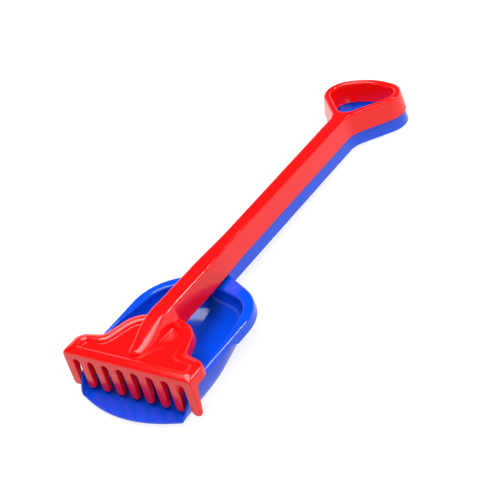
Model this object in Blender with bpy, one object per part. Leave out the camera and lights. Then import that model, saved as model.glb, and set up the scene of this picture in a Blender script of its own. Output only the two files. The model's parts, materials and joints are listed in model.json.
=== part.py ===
"""Beach rake nested on a sand scoop: two thin mouldings, each an open-backed channel handle
with a looped grip at one end and its tool head at the other.

Each moulding is cut into its working zones, a 0.3 mm gap apart, so that each zone is a plain
closed solid. All sizes are in metres. The tool frame has +Y from the heads to the grips, +Z out
of the backs of the handles, and Z = 0 on the rake handle's back. The set is then tipped about X
so that it rests on the scoop's belly and on the scoop's grip.
"""

import math

import bmesh
import bpy
from mathutils import Vector

# Both mouldings
WALL = 0.0016
GAP = 0.0003
CHANNEL_HEIGHT = 0.0227
DRAFT = math.tan(math.radians(8.5))
EDGE_RADIUS = 0.0032
EDGE_STEPS = 3
NEST_DROP = 0.0144
HALF_WIDTH_MIDDLE = 0.0079
WIDENING = 0.0052
SHAFT_STATIONS = 9
GRIP_MOUTH_Y = 0.150

# Grip loop: the finger hole's corners (x, y, radius, and steps where they aren't ARC_STEPS)
HOLE_NEAR = (0.0, 0.1662, 0.0127, 16)
HOLE_SIDE = (0.0500, 0.2245, 0.0173)
HOLE_FAR = (0.0, 0.2404, 0.060)
BAND_WIDTH = 0.0082
NECK_RADIUS = 0.030
ARC_STEPS = 6

# Rake head
RAKE_MOUTH_Y = -0.171
ROOT_START_Y = -0.055
ROOT_LENGTH = 0.065
ROOT_WIDENING = 0.0024
HEAD_FLARE = 0.0012
PLATE_Z = -0.0150
BEAD_Z = -0.0125
BEAD_SLOPE = 0.0022
HEAD_HALF_WIDTH = 0.0699
HEAD_FRONT_Y = -0.2403
HEAD_SHOULDER = (0.0340, -0.1800, 0.024)
HEAD_WAIST = (0.0450, -0.2110, 0.009)
HEAD_CORNER = (0.0706, -0.2170, 0.010)
PLATE_START_Y = -0.1810
PLATE_SHOULDER = (0.0275, -0.1880, 0.018)
PLATE_WAIST = (0.0385, -0.2190, 0.012)
PLATE_CORNER = (0.0600, -0.2215, 0.004)
PLATE_FRONT = (0.0605, -0.2325, 0.003)
HEAD_FRONT_RADIUS = 0.003
NOSE_TIP_Y = -0.2268
NOSE_SIDE_Y = -0.2030
NOSE_SIDE_RADIUS = 0.030
NOSE_HALF_WIDTH = 0.0125
NOSE_NARROWING = 0.0050
NOSE_SPINE_END_Y = -0.2230
NOSE_FALL_Y = -0.1840
NOSE_FALL = 0.0105

# Comb
TOOTH_COUNT = 9
TOOTH_PITCH = 0.0166
SLOT_WIDTH = 0.0072
SLOT_TOP_Z = -0.0205
TOOTH_TIP_Z = -0.0527
TOOTH_TAPER = 0.0006
COMB_TOP_Z = -0.0162
COMB_DEPTH = 0.0085
TIP_DEPTH = 0.0038
COMB_SEAM = 0.0010
TIP_STEPS = 4

# Scoop bowl
SCOOP_MOUTH_Y = -0.088
RIM_Z = -0.0270
FLOOR_Z = -0.0550
SKIRT_BOTTOM_Z = -0.0362
LIP_BOTTOM_Z = -0.0312
SKIRT_END_Y = -0.164
SKIRT_STEP = 0.0035
RIM_CORNER = (0.0652, -0.1175, 0.050)
RIM_FRONT_X = 0.0628
RIM_FRONT_Y = -0.218
WELL_REAR_Y = -0.1070
WELL_CORNER = (0.0490, -0.1210, 0.028)
WELL_SIDE = (0.0590, -0.1780, 0.100)
SKIRT_FLARE = 0.0012
SCOOP_NOSE_TIP_Y = -0.1045
SCOOP_NOSE_SLOPE = 0.42
SCOOP_SPINE_END_Y = -0.0985
SCOOP_NOSE_FALL = 0.0060
NOSE_POINTS = 8
FLOOR_REAR_Y = -0.168
FLOOR_REAR_CORNER = (0.0440, -0.1720, 0.030)
FLOOR_SIDE = (0.0525, -0.2100, 0.080)
FLOOR_CORNER = (0.0540, -0.2500)
FRONT_BULGE = 0.012
WALL_LEVELS = 5
BOWL_POWER = 2.4
ROW_POINTS = 24
SWEEP_START_Y = -0.195
FRONT_STEPS = 8

RAKE_RED = (0.83, 0.012, 0.012)
SCOOP_BLUE = (0.004, 0.075, 0.72)


def plastic(name, colour):
    """A glossy moulded plastic of its own for one sub-part."""
    material = bpy.data.materials.new(name)
    material.use_nodes = True
    shader = material.node_tree.nodes["Principled BSDF"]
    shader.inputs["Base Color"].default_value = (*colour, 1.0)
    shader.inputs["Roughness"].default_value = 0.25
    shader.inputs["Metallic"].default_value = 0.0
    return material


def moulding(name, bm, parent, colour, facing=(0.0, 0.0, 1.0)):
    """Turns an open sheet, the moulding's show side, into a solid one wall thick behind it.

    facing is the way that the show side looks on the whole.
    """
    bmesh.ops.remove_doubles(bm, verts=bm.verts, dist=1e-6)
    bmesh.ops.dissolve_degenerate(bm, dist=1e-6, edges=bm.edges)
    bmesh.ops.recalc_face_normals(bm, faces=bm.faces)
    if sum(face.normal.dot(Vector(facing)) * face.calc_area() for face in bm.faces) < 0:
        bmesh.ops.reverse_faces(bm, faces=bm.faces)
    mesh = bpy.data.meshes.new(name)
    bm.to_mesh(mesh)
    bm.free()
    mesh.shade_smooth()
    mesh.set_sharp_from_angle(angle=math.radians(35))
    mesh.materials.append(plastic(name, colour))
    piece = bpy.data.objects.new(name, mesh)
    bpy.context.scene.collection.objects.link(piece)
    piece.parent = parent
    wall = piece.modifiers.new("wall", "SOLIDIFY")
    wall.thickness = WALL
    wall.offset = -1.0
    wall.use_even_offset = True
    return piece


def strip(bm, first, second, closed=False):
    """Faces between two rows that have as many points as each other."""
    lower = [bm.verts.new(point) for point in first]
    upper = [bm.verts.new(point) for point in second]
    count = len(first)
    for i in range(count if closed else count - 1):
        j = (i + 1) % count
        bm.faces.new((lower[i], lower[j], upper[j], upper[i]))


def rows(bm, lines, closed=False):
    for first, second in zip(lines, lines[1:]):
        strip(bm, first, second, closed)


def mirrored(points):
    """A row from the right side round to the left, through a point on the middle plane."""
    left = [Vector((-p.x, p.y, p.z)) for p in points if p.x > 1e-6]
    return points + left[::-1]


def turn(start, middle, end):
    """Signed turn from one leg to the next, and the two directions."""
    before = (middle - start).normalized()
    after = (end - middle).normalized()
    return math.atan2(before.x * after.y - before.y * after.x, before.dot(after)), before, after


def fillet(start, middle, end, radius, steps):
    """Points of the arc that rounds the corner at middle."""
    angle, before, after = turn(start, middle, end)
    reach = radius * math.tan(abs(angle) / 2)
    side = Vector((-before.y, before.x)) * math.copysign(1.0, angle)
    centre = middle - before * reach + side * radius
    points = []
    for i in range(steps + 1):
        swept = angle * i / steps
        arm = -side * radius
        points.append(centre + Vector((
            arm.x * math.cos(swept) - arm.y * math.sin(swept),
            arm.x * math.sin(swept) + arm.y * math.cos(swept),
        )))
    return points


def crossing(point, along, other, other_along):
    """Where two lines in the plane meet."""
    scale = along.x * other_along.y - along.y * other_along.x
    gap = other - point
    return point + along * ((gap.x * other_along.y - gap.y * other_along.x) / scale)


def outline(corners, offset=0.0, slides=None):
    """A chain of rounded corners (x, y, radius, steps), moved to its right side by offset.

    A closed chain has slides None. An open one gives the direction in which each of its two end
    points slides as the chain is offset.
    """
    places = [Vector(corner[:2]) for corner in corners]
    radii = [corner[2] if len(corner) > 2 else 0.0 for corner in corners]
    steps = [corner[3] if len(corner) > 3 else ARC_STEPS for corner in corners]
    count = len(places)
    closed = slides is None
    legs = [(places[(i + 1) % count] - places[i]).normalized() for i in range(count)]
    shifts = [Vector((leg.y, -leg.x)) * offset for leg in legs]
    moved = []
    for i, place in enumerate(places):
        if not closed and i in (0, count - 1):
            leg = min(i, count - 2)
            slide = Vector(slides[0] if i == 0 else slides[1])
            moved.append(crossing(place, slide, place + shifts[leg], legs[leg]))
        else:
            moved.append(crossing(place + shifts[i - 1], legs[i - 1], place + shifts[i], legs[i]))
    points = []
    for i, place in enumerate(moved):
        if not closed and i in (0, count - 1):
            points.append(place)
            continue
        before, after = moved[i - 1], moved[(i + 1) % count]
        angle = turn(before, place, after)[0]
        radius = max(radii[i] + offset * math.copysign(1.0, angle), 0.0006)
        points += fillet(before, place, after, radius, steps[i])
    return points


def resampled(points, count):
    """As many points as asked for, evenly along a chain."""
    lengths = [(b - a).length for a, b in zip(points, points[1:])]
    step = sum(lengths) / (count - 1)
    result = [points[0].copy()]
    place = 0
    walked = 0.0
    for i in range(1, count - 1):
        while walked + lengths[place] < step * i:
            walked += lengths[place]
            place += 1
        result.append(points[place].lerp(points[place + 1], (step * i - walked) / lengths[place]))
    return result + [points[-1].copy()]


def raised(points, height):
    """Plane points at a height, which may be a number or a function of y."""
    if callable(height):
        return [Vector((p.x, p.y, height(p.y))) for p in points]
    return [Vector((p.x, p.y, height)) for p in points]


def edge_profile():
    """(outward offset, height) from the flat back, round its edge, and down the drafted side."""
    profile = []
    for i in range(EDGE_STEPS + 1):
        angle = math.radians(81.5) * i / EDGE_STEPS
        profile.append((EDGE_RADIUS * (math.sin(angle) - 1), EDGE_RADIUS * (math.cos(angle) - 1)))
    last_out, last_z = profile[-1]
    profile.append((last_out + (CHANNEL_HEIGHT + last_z) * DRAFT, -CHANNEL_HEIGHT))
    return profile


def half_width(y):
    return HALF_WIDTH_MIDDLE + WIDENING * y


def eased(share):
    share = min(max(share, 0.0), 1.0)
    return share * share * (3 - 2 * share)


def root_widening(y):
    """How much wider than the scoop's the rake's handle grows towards its head."""
    return ROOT_WIDENING * eased((ROOT_START_Y - y) / ROOT_LENGTH)


def shaft(name, start_y, drop, widening, parent, colour):
    """The straight channel between a head and a grip."""
    bm = bmesh.new()
    lines = []
    first, last = start_y + 2 * GAP, GRIP_MOUTH_Y - GAP
    for i in range(SHAFT_STATIONS):
        y = first + (last - first) * i / (SHAFT_STATIONS - 1)
        half = half_width(y) + widening(y)
        lines.append(mirrored([Vector((half + out, y, z - drop)) for out, z in edge_profile()][::-1]))
    rows(bm, lines)
    return moulding(name, bm, parent, colour)


def neck_corner():
    """Where the straight side of the handle meets the slanted side of the grip's band."""
    near, side = Vector(HOLE_NEAR[:2]), Vector(HOLE_SIDE[:2])
    leg = (side - near).normalized()
    on_band = near + Vector((leg.y, -leg.x)) * BAND_WIDTH
    return crossing(Vector((half_width(GRIP_MOUTH_Y), 0)), Vector((0, 1)), on_band, leg)


def grip(name, drop, parent, colour):
    """The looped grip: a back with a rounded three-cornered hole, and walls down both edges."""
    profile = edge_profile()
    left_side = (-HOLE_SIDE[0], HOLE_SIDE[1], HOLE_SIDE[2])
    hole = [HOLE_NEAR, HOLE_SIDE, HOLE_FAR, left_side]
    half_near = HOLE_NEAR[3] // 2

    def hole_row(out, z):
        points = outline(hole, -out)
        return raised(points[half_near:] + points[:half_near], z - drop)

    side, far = Vector(HOLE_SIDE[:2]), Vector(HOLE_FAR[:2])
    neck = neck_corner()
    side_leg = (side - Vector(HOLE_NEAR[:2])).normalized()
    far_leg = (far - side).normalized()
    side_out = Vector((side_leg.y, -side_leg.x)) * BAND_WIDTH
    far_out = Vector((far_leg.y, -far_leg.x)) * BAND_WIDTH
    corner = crossing(side + side_out, side_leg, far + far_out, far_leg)
    far_corner = crossing(far + far_out, far_leg, Vector((0, 0)), Vector((0, 1)))
    corner_radius = HOLE_SIDE[2] + BAND_WIDTH
    rim = [
        (half_width(GRIP_MOUTH_Y), GRIP_MOUTH_Y),
        (neck.x, neck.y, NECK_RADIUS),
        (corner.x, corner.y, corner_radius),
        (far_corner.x, far_corner.y, HOLE_FAR[2] + BAND_WIDTH),
        (-corner.x, corner.y, corner_radius),
        (-neck.x, neck.y, NECK_RADIUS),
        (-half_width(GRIP_MOUTH_Y), GRIP_MOUTH_Y),
    ]

    def rim_row(out, z):
        points = outline(rim, out, slides=((1, 0), (1, 0)))
        return raised(points, z - drop)

    bm = bmesh.new()
    rows(bm, [hole_row(out, z) for out, z in profile], closed=True)
    rows(bm, [rim_row(out, z) for out, z in profile])
    mouth = Vector((0.0, GRIP_MOUTH_Y, -drop))
    strip(bm, hole_row(*profile[0]), [mouth] + rim_row(*profile[0]), closed=True)
    return moulding(name, bm, parent, colour)


def section_shares(y, widening):
    """The channel's section from back middle to foot, as shares of the foot's reach and depth."""
    profile = edge_profile()
    foot_out, foot_z = profile[-1]
    half = half_width(y) + widening
    reach = half + foot_out
    return [(0.0, 0.0)] + [((half + out) / reach, z / foot_z) for out, z in profile]


def nose(bm, feet, spine, widening=0.0):
    """The handle's rounded end: columns from the spine out to the foot, softer towards the tip."""
    columns = []
    for i, (foot, top) in enumerate(zip(feet, spine)):
        softness = (i / (len(feet) - 1)) ** 2
        shares = section_shares(foot.y, widening)
        column = []
        for k, (reach, depth) in enumerate(shares):
            angle = math.pi / 2 * k / (len(shares) - 1)
            reach += (math.sin(angle) - reach) * softness
            depth += (1 - math.cos(angle) - depth) * softness
            place = top.lerp(foot, reach)
            place.z = top.z + (foot.z - top.z) * depth
            column.append(place)
        columns.append(column)
    rows(bm, columns)


def spine_over(feet, end_y, fall_start_y, fall, drop):
    """Points on the middle plane that the feet's columns rise to."""
    points = []
    for foot in feet:
        y = max(foot.y, end_y)
        share = eased((fall_start_y - y) / (fall_start_y - end_y))
        points.append(Vector((0.0, y, -drop - fall * share)))
    return points


def mirror_sheet(bm):
    bmesh.ops.mirror(bm, geom=bm.verts[:] + bm.edges[:] + bm.faces[:], axis="X", merge_dist=1e-6)


def foot_reach(y):
    return half_width(y) + edge_profile()[-1][0]


def stepped(points):
    """Two more points on the head's side, close together where the skirt gives way to the comb."""
    last_of_corner = 3 * (ARC_STEPS + 1)
    behind, ahead = points[last_of_corner], points[last_of_corner + 1]
    share = (HEAD_FRONT_Y + COMB_DEPTH - behind.y) / (ahead.y - behind.y)
    share = min(max(share, 0.2), 0.8)
    extra = [behind.lerp(ahead, share - 0.03), behind.lerp(ahead, share + 0.03)]
    return points[:last_of_corner + 1] + extra + points[last_of_corner + 1:]


def rake_head(parent):
    """The rake's recessed plate in its raised bead, with a skirt outside and the nose on top."""
    start = (foot_reach(RAKE_MOUTH_Y) + ROOT_WIDENING, RAKE_MOUTH_Y - HEAD_FLARE)
    tip_half = NOSE_HALF_WIDTH - NOSE_NARROWING
    foot_corners = [
        start,
        (NOSE_HALF_WIDTH, NOSE_SIDE_Y, NOSE_SIDE_RADIUS),
        (tip_half, NOSE_TIP_Y, tip_half * 0.95),
        (0.0, NOSE_TIP_Y),
    ]
    slide = (foot_corners[1][0] - start[0], foot_corners[1][1] - start[1])
    corners = [
        start,
        HEAD_SHOULDER,
        HEAD_WAIST,
        HEAD_CORNER,
        (HEAD_HALF_WIDTH, HEAD_FRONT_Y, HEAD_FRONT_RADIUS),
        (0.0, HEAD_FRONT_Y),
    ]
    plate_corners = [
        (start[0], PLATE_START_Y),
        PLATE_SHOULDER,
        PLATE_WAIST,
        PLATE_CORNER,
        PLATE_FRONT,
        (0.0, PLATE_FRONT[1]),
    ]
    shoulder_z = (PLATE_Z + BEAD_Z) / 2

    def skirt_z(y):
        return COMB_TOP_Z if y < HEAD_FRONT_Y + COMB_DEPTH else -CHANNEL_HEIGHT

    levels = [
        (corners, -HEAD_FLARE, skirt_z),
        (corners, 0.0, BEAD_Z - BEAD_SLOPE * 0.8),
        (corners, BEAD_SLOPE * 0.3, shoulder_z),
        (corners, BEAD_SLOPE, BEAD_Z),
        (plate_corners, 0.0, BEAD_Z),
        (plate_corners, BEAD_SLOPE * 0.4, shoulder_z),
        (plate_corners, BEAD_SLOPE, PLATE_Z),
    ]
    lines = []
    for chain, inset, z in levels:
        points = outline(chain, inset, slides=(slide, (0, 1)))
        lines.append(raised(stepped(points), z))
    plate_edge = lines[-1]
    nose_foot = outline(foot_corners, slides=(slide, (0, 1)))
    nose_foot = [point for point in nose_foot if point.y < plate_edge[0].y]
    nose_foot = resampled([plate_edge[0].xy] + nose_foot, len(plate_edge))
    feet = [line[0] for line in lines[:-1]] + raised(nose_foot, PLATE_Z)
    bm = bmesh.new()
    rows(bm, lines)
    plate = plate_edge + raised(nose_foot, PLATE_Z)[:0:-1]
    bm.faces.new([bm.verts.new(point) for point in plate])
    nose(bm, feet, spine_over(feet, NOSE_SPINE_END_Y, NOSE_FALL_Y, NOSE_FALL, 0.0), ROOT_WIDENING)
    mirror_sheet(bm)
    return moulding("rake_head", bm, parent, RAKE_RED)


def rake_comb(parent):
    """The front wall with its tines: one face, and its edge turned back round every tine."""
    half = HEAD_HALF_WIDTH + HEAD_FLARE
    corners = [(half, COMB_TOP_Z - COMB_SEAM)]
    tip_half = (TOOTH_PITCH - SLOT_WIDTH) / 2 - TOOTH_TAPER
    for i in range(TOOTH_COUNT):
        centre = TOOTH_PITCH * ((TOOTH_COUNT - 1) / 2 - i)
        corners.append((centre + tip_half, TOOTH_TIP_Z, tip_half * 0.97, TIP_STEPS))
        corners.append((centre - tip_half, TOOTH_TIP_Z, tip_half * 0.97, TIP_STEPS))
        if i < TOOTH_COUNT - 1:
            slot = centre - TOOTH_PITCH / 2
            corners.append((slot + SLOT_WIDTH / 2, SLOT_TOP_Z, SLOT_WIDTH * 0.48, TIP_STEPS))
            corners.append((slot - SLOT_WIDTH / 2, SLOT_TOP_Z, SLOT_WIDTH * 0.48, TIP_STEPS))
    corners.append((-half, COMB_TOP_Z - COMB_SEAM))
    edge = outline(corners, slides=((0, 1), (0, 1)))
    front = [Vector((p.x, HEAD_FRONT_Y - HEAD_FLARE, p.y)) for p in edge]
    back = []
    for point in front:
        share = min(max((SLOT_TOP_Z - point.z) / (SLOT_TOP_Z - TOOTH_TIP_Z), 0.0), 1.0)
        depth = COMB_DEPTH - 3 * GAP + (TIP_DEPTH - COMB_DEPTH) * share
        back.append(point + Vector((0.0, depth, 0.0)))
    bm = bmesh.new()
    bm.faces.new([bm.verts.new(point) for point in front])
    strip(bm, front, back)
    return moulding("rake_comb", bm, parent, RAKE_RED, facing=(0.0, -1.0, 0.0))


def swept_front(points, depth):
    """Draws a wall row's front end along the side wall's swept front edge."""
    end_y = points[-1].y
    edge_y = RIM_FRONT_Y + (FLOOR_CORNER[1] - RIM_FRONT_Y) * math.sqrt(depth)
    stretch = (edge_y - SWEEP_START_Y) / (end_y - SWEEP_START_Y)
    for point in points:
        if point.y < SWEEP_START_Y:
            point.y = SWEEP_START_Y + (point.y - SWEEP_START_Y) * stretch
    return points


def scoop_bowl(parent):
    """The open-fronted bowl: skirt, rolled rim, deep walls and floor, and the handle's nose."""
    foot_x = foot_reach(SCOOP_MOUTH_Y)
    start = (foot_x - SCOOP_NOSE_SLOPE * SKIRT_FLARE, SCOOP_MOUTH_Y - SKIRT_FLARE)
    tip_half = foot_x - SCOOP_NOSE_SLOPE * (SCOOP_MOUTH_Y - SCOOP_NOSE_TIP_Y)
    foot_corners = [start, (tip_half, SCOOP_NOSE_TIP_Y, tip_half * 1.3), (0.0, SCOOP_NOSE_TIP_Y)]
    slide = (foot_corners[1][0] - start[0], foot_corners[1][1] - start[1])
    rim = [start, RIM_CORNER, (RIM_FRONT_X, RIM_FRONT_Y)]
    well = [(0.0, WELL_REAR_Y), WELL_CORNER, WELL_SIDE, (WELL_SIDE[0], RIM_FRONT_Y)]
    floor = [(0.0, FLOOR_REAR_Y), FLOOR_REAR_CORNER, FLOOR_SIDE, FLOOR_CORNER]

    def skirt_z(y):
        share = eased((SKIRT_END_Y - y) / SKIRT_STEP)
        return SKIRT_BOTTOM_Z + (LIP_BOTTOM_Z - SKIRT_BOTTOM_Z) * share

    roll = [(-SKIRT_FLARE, skirt_z), (0.0, RIM_Z - 0.0026), (0.0010, RIM_Z - 0.0007), (0.0030, RIM_Z)]
    lines = []
    for inset, z in roll:
        points = resampled(outline(rim, inset, slides=(slide, (1, 0))), ROW_POINTS)
        lines.append(raised(points, z))
    rim_edge = lines[-1]
    nose_foot = outline(foot_corners, slides=(slide, (0, 1)))
    nose_foot = [point for point in nose_foot if point.y < rim_edge[0].y]
    nose_foot = resampled([rim_edge[0].xy] + nose_foot, NOSE_POINTS)
    feet = [line[0] for line in lines[:-1]] + raised(nose_foot, RIM_Z)
    bm = bmesh.new()
    rows(bm, lines)
    nose(bm, feet, spine_over(feet, SCOOP_SPINE_END_Y, feet[1].y, SCOOP_NOSE_FALL, NEST_DROP))
    inner = raised(nose_foot, RIM_Z)[::-1] + rim_edge[1:]
    count = len(inner)
    flat_well = resampled(outline(well, slides=((0, 1), (1, 0))), count)
    flat_floor = resampled(outline(floor, slides=((0, 1), (1, 0))), count)
    lines = [inner, raised(resampled(outline(well, -0.0012, slides=((0, 1), (1, 0))), count), RIM_Z)]
    for k in range(WALL_LEVELS + 1):
        angle = math.pi / 2 * k / WALL_LEVELS
        inward = 1 - math.cos(angle) ** (2 / BOWL_POWER)
        down = math.sin(angle) ** (2 / BOWL_POWER)
        top_z = RIM_Z - 0.0010
        row = [a.lerp(b, inward) for a, b in zip(flat_well, flat_floor)]
        lines.append(swept_front(raised(row, top_z + (FLOOR_Z - top_z) * down), down))
    rows(bm, lines)
    floor_edge = lines[-1]
    front = []
    for i in range(1, FRONT_STEPS + 1):
        share = 1 - i / FRONT_STEPS
        y = floor_edge[-1].y - FRONT_BULGE * (1 - share ** 2)
        front.append(Vector((floor_edge[-1].x * share, y, FLOOR_Z)))
    bm.faces.new([bm.verts.new(point) for point in floor_edge + front])
    mirror_sheet(bm)
    return moulding("scoop_bowl", bm, parent, SCOOP_BLUE)


def frame_empty(name, parent=None):
    empty = bpy.data.objects.new(name, None)
    bpy.context.scene.collection.objects.link(empty)
    empty.parent = parent
    return empty


def settle(base, pieces):
    """Tips the set until belly and grip share one ground line, then stands it on Z = 0."""
    bpy.context.view_layer.update()
    graph = bpy.context.evaluated_depsgraph_get()
    points = []
    for piece in pieces:
        mesh = piece.evaluated_get(graph).to_mesh()
        points += [piece.matrix_world @ vertex.co for vertex in mesh.vertices]
        piece.evaluated_get(graph).to_mesh_clear()
    behind = [p for p in points if p.y > 0]
    ahead = [p for p in points if p.y <= 0]
    pitch = 0.0
    for _ in range(20):
        heel = min(behind, key=lambda p: p.z * math.cos(pitch) - p.y * math.sin(-pitch))
        belly = min(ahead, key=lambda p: p.z * math.cos(pitch) - p.y * math.sin(-pitch))
        pitch = -math.atan2(heel.z - belly.z, heel.y - belly.y)
    base.rotation_euler.x = pitch
    bpy.context.view_layer.update()
    placed = [base.matrix_world @ p for p in points]
    middle = (min(p.y for p in placed) + max(p.y for p in placed)) / 2
    base.location = (0.0, -middle, -min(p.z for p in placed))


def main():
    for item in list(bpy.data.objects):
        bpy.data.objects.remove(item)
    base = frame_empty("set_frame")
    scoop = frame_empty("scoop_frame", base)
    rake = frame_empty("rake_frame", base)
    pieces = [
        scoop_bowl(scoop),
        shaft("scoop_shaft", SCOOP_MOUTH_Y, NEST_DROP, lambda y: 0.0, scoop, SCOOP_BLUE),
        grip("scoop_grip", NEST_DROP, scoop, SCOOP_BLUE),
        rake_head(rake),
        rake_comb(rake),
        shaft("rake_shaft", RAKE_MOUTH_Y, 0.0, root_widening, rake, RAKE_RED),
        grip("rake_grip", 0.0, rake, RAKE_RED),
    ]
    settle(base, pieces)


main()
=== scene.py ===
"""Nested beach tools: a red rake lying on a blue sand scoop, each moulded in one piece.

Both tools are modelled in a frame of their own, in metres: +Y runs from the heads to the
grips, +Z out of the backs of the handles, and Z = 0 on the rake handle's back. ToolFrame
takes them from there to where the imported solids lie. Each tool starts as its show side, an
open skin of one half, which is mirrored, given its wall and rounded off.
"""

import json
import logging
import math
from collections.abc import Callable, Sequence
from dataclasses import dataclass, field
from enum import Enum

import bmesh
import bpy
from mathutils import Matrix, Vector

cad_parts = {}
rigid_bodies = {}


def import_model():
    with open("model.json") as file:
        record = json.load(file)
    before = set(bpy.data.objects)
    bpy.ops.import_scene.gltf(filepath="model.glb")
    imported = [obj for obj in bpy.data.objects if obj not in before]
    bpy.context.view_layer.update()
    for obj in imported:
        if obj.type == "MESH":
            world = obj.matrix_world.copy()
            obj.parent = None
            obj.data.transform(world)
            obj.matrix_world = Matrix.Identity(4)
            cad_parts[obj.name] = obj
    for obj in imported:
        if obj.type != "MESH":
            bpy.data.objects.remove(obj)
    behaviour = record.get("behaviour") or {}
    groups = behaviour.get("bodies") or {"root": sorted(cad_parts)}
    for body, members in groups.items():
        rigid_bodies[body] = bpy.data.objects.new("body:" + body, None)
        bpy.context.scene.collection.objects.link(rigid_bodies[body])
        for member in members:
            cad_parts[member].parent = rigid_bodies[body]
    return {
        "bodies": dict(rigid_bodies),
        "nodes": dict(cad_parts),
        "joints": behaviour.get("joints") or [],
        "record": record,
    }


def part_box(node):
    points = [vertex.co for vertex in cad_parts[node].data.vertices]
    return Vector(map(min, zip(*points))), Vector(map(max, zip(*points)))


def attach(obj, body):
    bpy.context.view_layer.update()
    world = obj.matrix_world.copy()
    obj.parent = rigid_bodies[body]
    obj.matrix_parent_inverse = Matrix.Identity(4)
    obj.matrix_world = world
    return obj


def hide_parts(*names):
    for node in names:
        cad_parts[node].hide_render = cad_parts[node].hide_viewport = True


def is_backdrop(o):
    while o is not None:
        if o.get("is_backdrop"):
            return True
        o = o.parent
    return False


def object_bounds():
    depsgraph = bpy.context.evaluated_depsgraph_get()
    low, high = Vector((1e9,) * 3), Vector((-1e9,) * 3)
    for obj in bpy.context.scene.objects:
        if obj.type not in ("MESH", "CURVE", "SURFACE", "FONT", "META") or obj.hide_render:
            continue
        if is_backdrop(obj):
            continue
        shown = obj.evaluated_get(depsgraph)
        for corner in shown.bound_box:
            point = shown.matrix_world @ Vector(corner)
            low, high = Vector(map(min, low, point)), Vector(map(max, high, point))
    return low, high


log = logging.getLogger("beach_tools")

WELD = 1e-6
SMALLEST_EDGE = 2e-5
CREASE_ANGLE = 20.0
ARC_STEPS = 12
NEST_DROP = 0.0144

Place = Callable[[Vector], bool]
Height = Callable[[float], float]
Material = bpy.types.Material
Socket = bpy.types.NodeSocket


def eased(share: float) -> float:
    """A share from 0 to 1 that starts and ends softly."""
    share = min(max(share, 0.0), 1.0)
    return share * share * (3 - 2 * share)


def crossing(point: Vector, along: Vector, other: Vector, other_along: Vector) -> Vector:
    """Finds where two lines in the plane meet.

    Args:
        point: A point on the first line.
        along: The first line's direction.
        other: A point on the second line.
        other_along: The second line's direction.

    Returns:
        The meeting point.
    """
    scale = along.x * other_along.y - along.y * other_along.x
    gap = other - point
    return point + along * ((gap.x * other_along.y - gap.y * other_along.x) / scale)


def resampled(points: Sequence[Vector], count: int) -> list[Vector]:
    """Spreads points evenly along a chain.

    Args:
        points: The chain's own points.
        count: How many points to return.

    Returns:
        The new points, with the chain's two ends kept.
    """
    lengths = [(b - a).length for a, b in zip(points, points[1:])]
    step = sum(lengths) / (count - 1)
    result = [points[0].copy()]
    place = 0
    walked = 0.0
    for i in range(1, count - 1):
        while walked + lengths[place] < step * i:
            walked += lengths[place]
            place += 1
        result.append(points[place].lerp(points[place + 1], (step * i - walked) / lengths[place]))
    return result + [points[-1].copy()]


def raised(points: Sequence[Vector], height: float | Height) -> list[Vector]:
    """Lifts plane points to a height.

    Args:
        points: Points in the plane.
        height: One height for all, or a function that gives it for a point's y.

    Returns:
        Points in space.
    """
    if callable(height):
        return [Vector((p.x, p.y, height(p.y))) for p in points]
    return [Vector((p.x, p.y, height)) for p in points]


@dataclass(frozen=True)
class Corner:
    """A rounded corner of an outline."""

    x: float
    y: float
    radius: float = 0.0
    steps: int = ARC_STEPS

    @property
    def place(self) -> Vector:
        """The sharp corner's place in the plane."""
        return Vector((self.x, self.y))


@dataclass(frozen=True)
class Outline:
    """A chain of rounded corners, closed unless its ends are given a way to slide."""

    corners: tuple[Corner, ...]
    slides: tuple[tuple[float, float], tuple[float, float]] | None = None
    least_radius: float = 0.0006

    def points(self, offset: float = 0.0) -> list[Vector]:
        """Walks the outline.

        Args:
            offset: How far the outline is moved to its right side.

        Returns:
            Its points, with every corner as an arc.
        """
        places = self._moved(offset)
        count = len(places)
        points: list[Vector] = []
        for i, (corner, place) in enumerate(zip(self.corners, places)):
            if self.slides and i in (0, count - 1):
                points.append(place)
                continue
            points += self._arc(places[i - 1], place, places[(i + 1) % count], corner, offset)
        return points

    def _moved(self, offset: float) -> list[Vector]:
        """The sharp corners of the outline moved to its right side by offset.

        Args:
            offset: How far they move.

        Returns:
            The moved corners.
        """
        places = [corner.place for corner in self.corners]
        count = len(places)
        legs = [(places[(i + 1) % count] - places[i]).normalized() for i in range(count)]
        shifts = [Vector((leg.y, -leg.x)) * offset for leg in legs]
        moved = []
        for i, place in enumerate(places):
            if self.slides and i in (0, count - 1):
                leg = min(i, count - 2)
                slide = Vector(self.slides[0] if i == 0 else self.slides[1])
                moved.append(crossing(place, slide, place + shifts[leg], legs[leg]))
            elif abs(legs[i - 1].cross(legs[i])) < WELD:
                moved.append(place + shifts[i])
            else:
                before, after = place + shifts[i - 1], place + shifts[i]
                moved.append(crossing(before, legs[i - 1], after, legs[i]))
        return moved

    def _arc(
        self, start: Vector, middle: Vector, end: Vector, corner: Corner, offset: float
    ) -> list[Vector]:
        """The arc that rounds one corner.

        Args:
            start: The corner before.
            middle: The corner itself.
            end: The corner after.
            corner: The corner's radius and steps.
            offset: How far the outline was moved, which widens or narrows the arc.

        Returns:
            The arc's points.
        """
        before = (middle - start).normalized()
        after = (end - middle).normalized()
        angle = math.atan2(before.x * after.y - before.y * after.x, before.dot(after))
        way = math.copysign(1.0, angle)
        radius = max(corner.radius + offset * way, self.least_radius)
        side = Vector((-before.y, before.x)) * way
        centre = middle - before * (radius * math.tan(abs(angle) / 2)) + side * radius
        points = []
        for i in range(corner.steps + 1):
            turn = Matrix.Rotation(angle * i / corner.steps, 2)
            points.append(centre + turn @ (side * -radius))
        return points


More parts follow.
